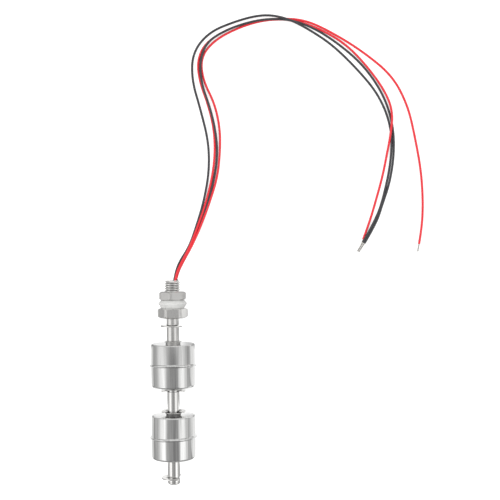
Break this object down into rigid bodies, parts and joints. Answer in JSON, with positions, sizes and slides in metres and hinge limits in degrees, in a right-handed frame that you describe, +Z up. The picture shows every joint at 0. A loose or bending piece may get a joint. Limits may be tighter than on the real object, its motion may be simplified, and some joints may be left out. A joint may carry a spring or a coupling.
{
  "type": "float level switch",
  "caption": "Vertical float level switch: hex-flanged threaded neck with nut and seal, slim stem, two sliding cylindrical floats between clips, and flying lead wires.",
  "frame": {"origin": "on the stem's axis, in the sealing face of the hex flange", "axes": "+Y along the stem towards the threaded neck and the wires, +Z up from the surface that the switch lies on, +X to the right as the wires curve"},
  "size_m": [0.1816, 0.3098, 0.0306],
  "materials": {
    "turned_steel": "turned, satin",
    "polished_steel": "drawn tube, polished",
    "float_steel": "deep drawn, polished",
    "spring_steel": "stamped, bright",
    "silicone": "moulded, matte",
    "epoxy": "cast, glossy",
    "ferrite": "sintered, matte",
    "reed_glass": "clear, fire polished",
    "reed_alloy": "plated",
    "shrink_sleeve": "shrunk, matte",
    "black_insulation": "extruded, semi-gloss",
    "red_insulation": "extruded, semi-gloss",
    "tinned_copper": "solder dipped"
  },
  "bodies": {
    "stem": {"threaded_neck": "turned_steel", "lock_nut": "turned_steel", "seal_gasket": "silicone", "stem_tube": "polished_steel", "end_plug": "polished_steel", "potting_plug": "epoxy", "upper_clip_top": "spring_steel", "upper_clip_bottom": "spring_steel", "lower_clip_top": "spring_steel", "lower_clip_bottom": "spring_steel", "upper_reed_glass": "reed_glass", "upper_reed_blade_a": "reed_alloy", "upper_reed_blade_b": "reed_alloy", "upper_reed_sleeve": "shrink_sleeve", "lower_reed_glass": "reed_glass", "lower_reed_blade_a": "reed_alloy", "lower_reed_blade_b": "reed_alloy", "lower_reed_sleeve": "shrink_sleeve", "black_wire_1": "black_insulation", "black_wire_1_inner": "black_insulation", "black_tinned_end_1": "tinned_copper", "black_wire_2": "black_insulation", "black_wire_2_inner": "black_insulation", "black_tinned_end_2": "tinned_copper", "red_wire_1": "red_insulation", "red_wire_1_inner": "red_insulation", "red_tinned_end_1": "tinned_copper", "red_wire_2": "red_insulation", "red_wire_2_inner": "red_insulation", "red_tinned_end_2": "tinned_copper"},
    "upper_float": {"upper_float_top_cup": "float_steel", "upper_float_bottom_cup": "float_steel", "upper_float_sleeve": "float_steel", "upper_float_magnet": "ferrite"},
    "lower_float": {"lower_float_top_cup": "float_steel", "lower_float_bottom_cup": "float_steel", "lower_float_sleeve": "float_steel", "lower_float_magnet": "ferrite"}
  },
  "joints": [
    {"name": "upper_float_slide", "type": "slide", "parent": "stem", "child": "upper_float", "axis": [0, 1, 0], "range_m": [0, 0.0094]},
    {"name": "lower_float_slide", "type": "slide", "parent": "stem", "child": "lower_float", "axis": [0, 1, 0], "range_m": [-0.0105, 0]}
  ]
}
